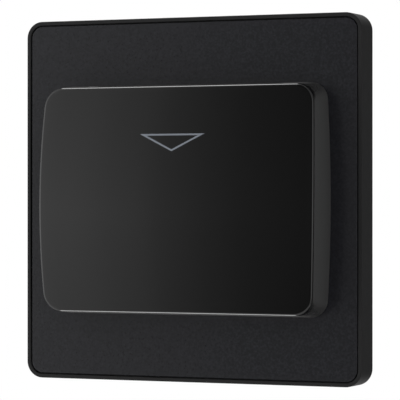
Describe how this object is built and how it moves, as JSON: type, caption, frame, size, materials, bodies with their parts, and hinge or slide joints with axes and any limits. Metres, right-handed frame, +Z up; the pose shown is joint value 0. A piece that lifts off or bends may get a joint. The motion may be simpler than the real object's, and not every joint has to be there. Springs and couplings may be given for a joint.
{
  "type": "hotel key card switch",
  "caption": "Square screwless wall plate with a raised crowned cover that takes a key card from above; the card pushes a sprung lever that works a snap switch.",
  "frame": {"origin": "centre of the wall plane, behind the plate", "axes": "+Z up, -Y out of the wall towards the room, +X to the right seen from the room"},
  "size_m": [0.095, 0.0514, 0.095],
  "materials": {
    "frame_black": "satin black moulding",
    "grained_face": "fine-grained matt black coating",
    "gloss_cover": "polished black moulding",
    "arrow_grey": "translucent grey line",
    "bed_black": "fine spark-eroded black",
    "clear_acrylic": "clear moulded rod",
    "lever_acetal": "dark acetal",
    "bright_steel": "bright plated steel",
    "zinc_steel": "zinc-plated sheet",
    "terminal_brass": "machined brass",
    "housing_black": "moulded black nylon",
    "board_green": "solder-masked board",
    "plunger_red": "red moulding",
    "led_white": "white body with clear lens",
    "relay_blue": "dark blue moulding",
    "capacitor_yellow": "dipped yellow box",
    "capacitor_sleeve": "dark sleeve",
    "surge_blue": "dipped blue disc"
  },
  "bodies": {
    "base": {"plate_frame": "frame_black", "face_plate": "grained_face", "card_cover": "gloss_cover", "arrow_inlay": "arrow_grey", "card_bed": "bed_black", "light_guide": "clear_acrylic", "lever_pin": "bright_steel", "lever_spring": "bright_steel", "mounting_strap": "zinc_steel", "fixing_screws": "bright_steel", "earth_clamp": "terminal_brass", "earth_screw": "bright_steel", "rear_housing": "housing_black", "housing_screws": "zinc_steel", "circuit_board": "board_green", "switch_case": "housing_black", "switch_lid": "housing_black", "switch_terminals": "terminal_brass", "indicator_led": "led_white", "relay": "relay_blue", "film_capacitor": "capacitor_yellow", "smoothing_capacitor": "capacitor_sleeve", "surge_disc": "surge_blue", "timer_chip": "housing_black", "terminal_clamps": "terminal_brass", "terminal_screws": "bright_steel"},
    "lever": {"actuator_lever": "lever_acetal"},
    "plunger": {"switch_plunger": "plunger_red"},
    "contact": {"contact_blade": "terminal_brass"}
  },
  "joints": [
    {"name": "lever_pivot", "type": "hinge", "parent": "base", "child": "lever", "pos_m": [0, -0.0036, -0.006], "axis": [1, 0, 0], "range_deg": [0, 12], "stiffness_Nm_per_rad": 0.0143, "springref_deg": -11.46, "deforming": ["lever_spring"]},
    {"name": "plunger_slide", "type": "slide", "parent": "base", "child": "plunger", "axis": [0, 1, 0], "range_m": [0, 0.0013]},
    {"name": "contact_swing", "type": "hinge", "parent": "base", "child": "contact", "pos_m": [0.0096, 0.00675, -0.011], "axis": [0, 0, 1], "range_deg": [-8, 0]}
  ],
  "couplings": [
    {"joint": "plunger_slide", "follows": "lever_pivot", "m_per_rad": 0.0056},
    {"joint": "contact_swing", "follows": "lever_pivot", "ratio": -0.6}
  ]
}
